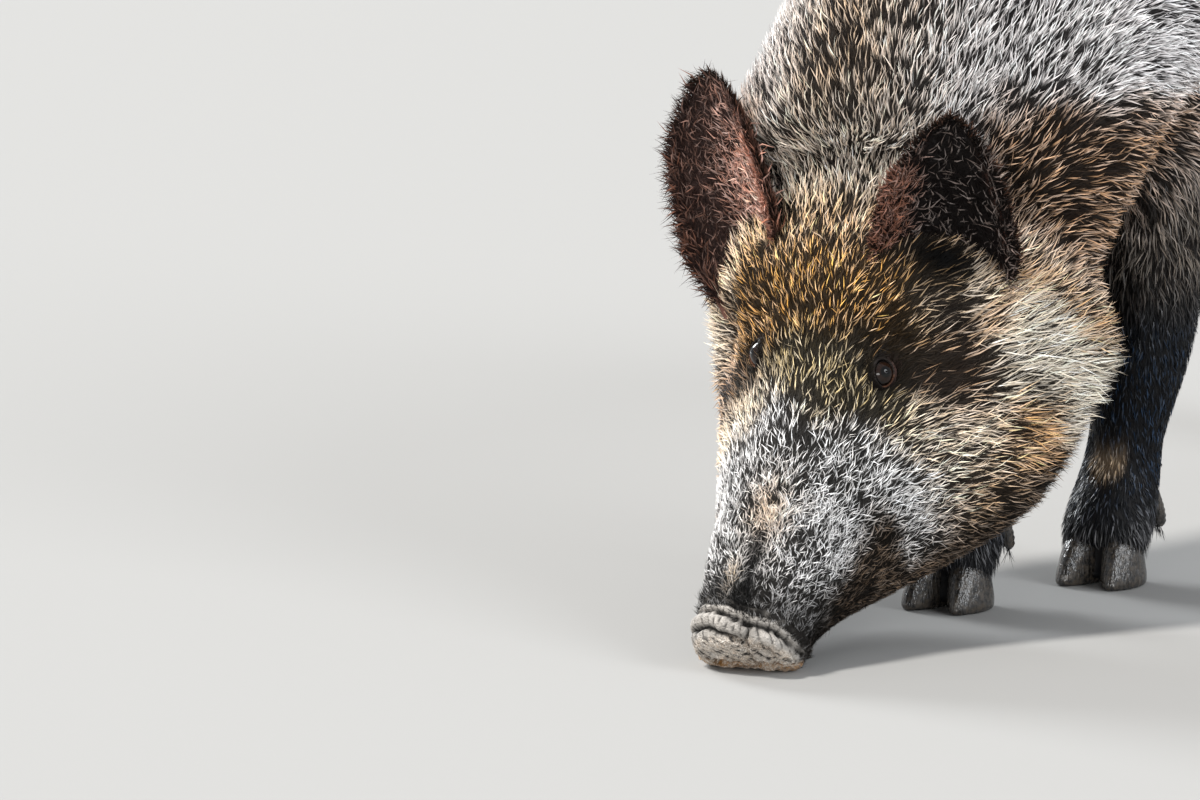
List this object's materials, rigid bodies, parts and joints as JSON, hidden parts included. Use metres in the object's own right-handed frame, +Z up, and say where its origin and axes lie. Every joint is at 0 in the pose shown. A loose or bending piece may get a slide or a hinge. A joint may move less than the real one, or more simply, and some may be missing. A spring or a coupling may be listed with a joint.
{
  "type": "wild boar",
  "caption": "Life-size standing wild boar sow with a long wedge-shaped head lowered until the snout touches the ground, upright pointed ears, high shoulders, cloven hooves and a hanging tail.",
  "frame": {"origin": "bottom centre of the bounding box, on the ground the hooves stand on", "axes": "+X forwards, towards the nose; +Y to the animal's left; +Z up"},
  "size_m": [1.3484, 0.3782, 0.7394],
  "materials": {
    "coat": "coarse bristly coat, black-brown hairs with cream and tan tips",
    "snout": "bare wrinkled skin, damp and a little muddy",
    "ear": "thin dark skin under short hair",
    "eye": "wet gloss, nearly black brown",
    "hoof": "worn grey-brown horn, semi-gloss"
  },
  "bodies": {
    "root": {"head": "coat", "neck": "coat", "trunk": "coat", "tail": "coat", "foreleg_left": "coat", "foreleg_right": "coat", "hindleg_left": "coat", "hindleg_right": "coat", "snout": "snout", "ear_left": "ear", "ear_right": "ear", "eye_left": "eye", "eye_right": "eye", "hoof_fore_left_outer": "hoof", "hoof_fore_left_inner": "hoof", "hoof_fore_right_outer": "hoof", "hoof_fore_right_inner": "hoof", "hoof_hind_left_outer": "hoof", "hoof_hind_left_inner": "hoof", "hoof_hind_right_outer": "hoof", "hoof_hind_right_inner": "hoof", "dewclaw_fore_left_outer": "hoof", "dewclaw_fore_left_inner": "hoof", "dewclaw_fore_right_outer": "hoof", "dewclaw_fore_right_inner": "hoof", "dewclaw_hind_left_outer": "hoof", "dewclaw_hind_left_inner": "hoof", "dewclaw_hind_right_outer": "hoof", "dewclaw_hind_right_inner": "hoof"}
  },
  "joints": []
}
